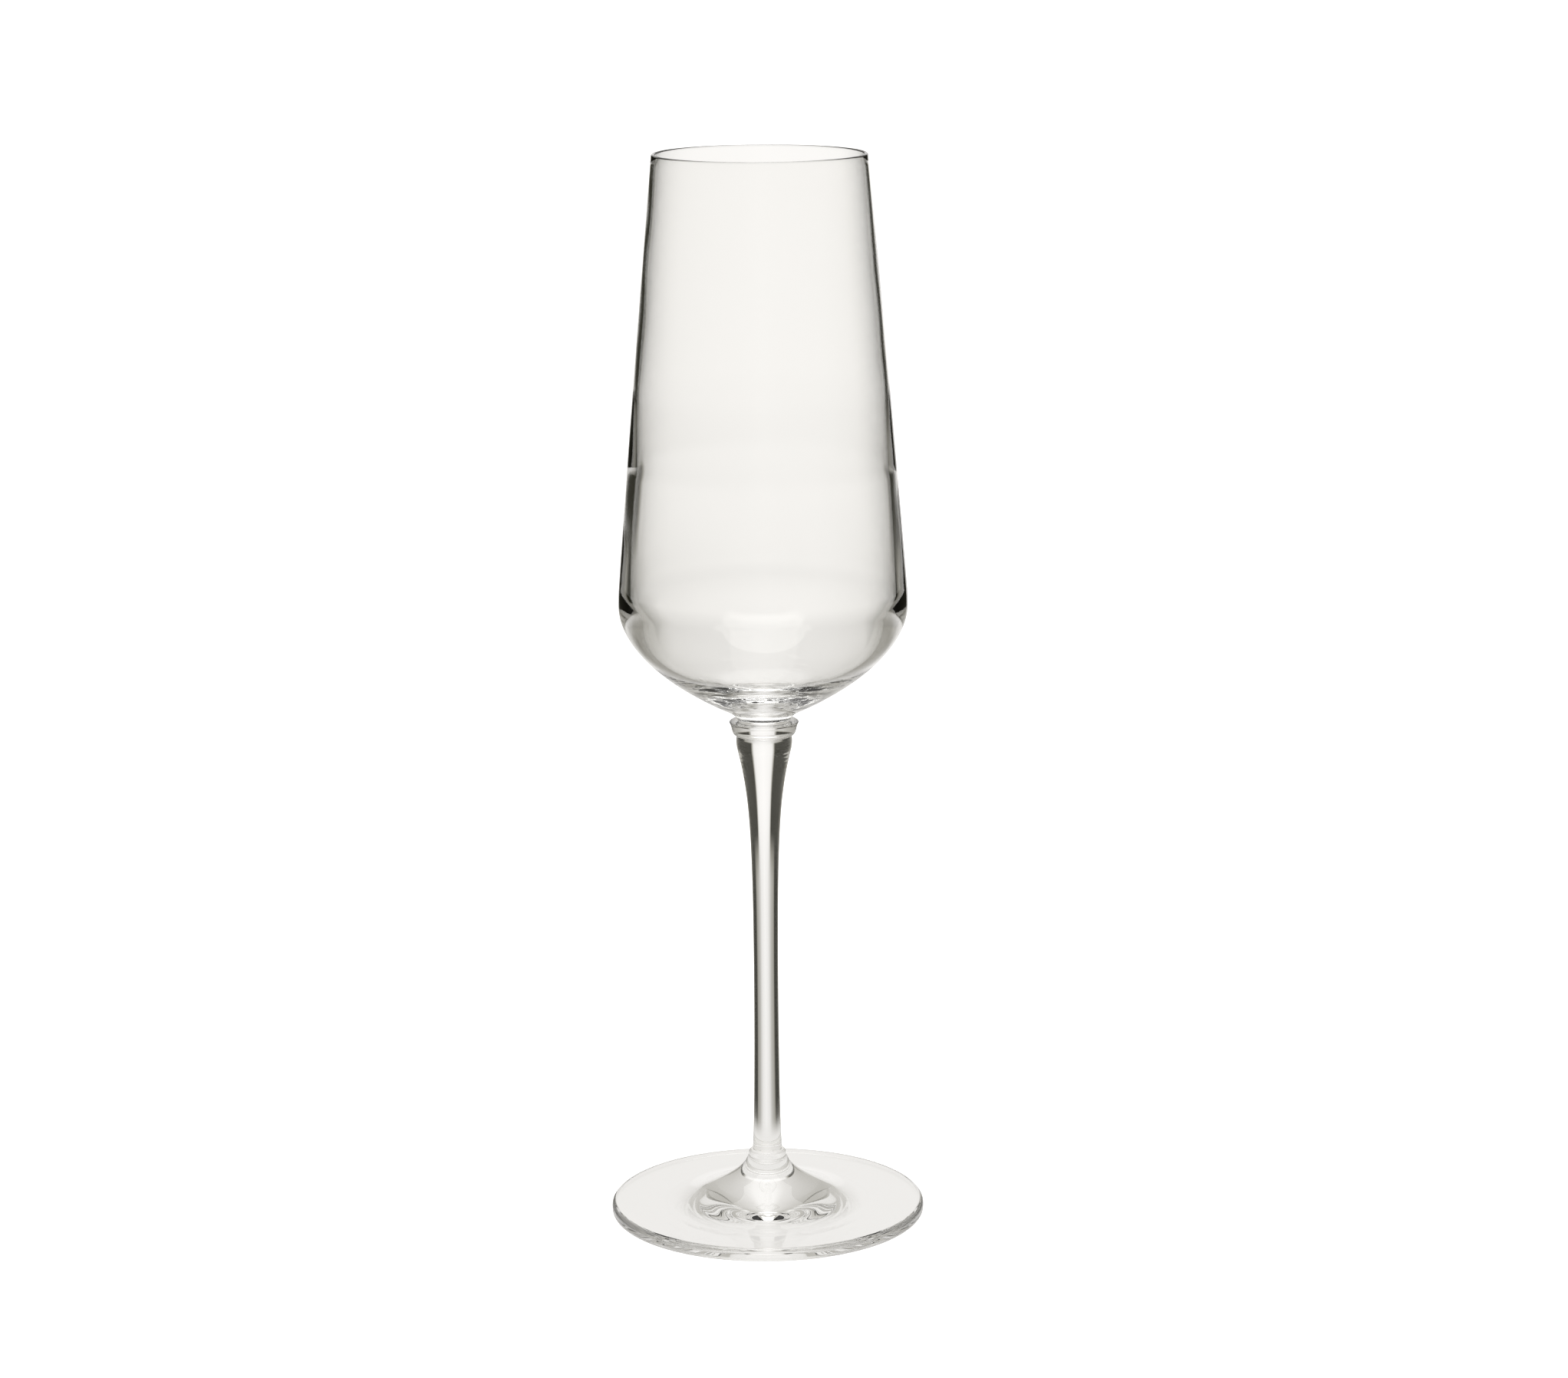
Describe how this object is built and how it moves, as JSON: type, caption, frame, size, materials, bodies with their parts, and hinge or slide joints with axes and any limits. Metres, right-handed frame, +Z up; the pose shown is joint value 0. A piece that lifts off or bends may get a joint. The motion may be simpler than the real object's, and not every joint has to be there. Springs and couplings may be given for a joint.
{
  "type": "champagne flute",
  "caption": "Clear glass champagne flute: tall bowl tapering to the rim above a rounded shoulder, joint ring, slim drawn stem and flat disc foot. Holds a sparkling drink.",
  "frame": {"origin": "centre of the foot's underside, in the plane the glass stands on", "axes": "+Z up along the glass's axis of revolution, from the foot to the rim"},
  "size_m": [0.071, 0.071, 0.24],
  "materials": {
    "clear_glass": "fire polished, clear"
  },
  "bodies": {
    "root": {"foot": "clear_glass", "stem": "clear_glass", "collar": "clear_glass", "bowl": "clear_glass"}
  },
  "joints": []
}
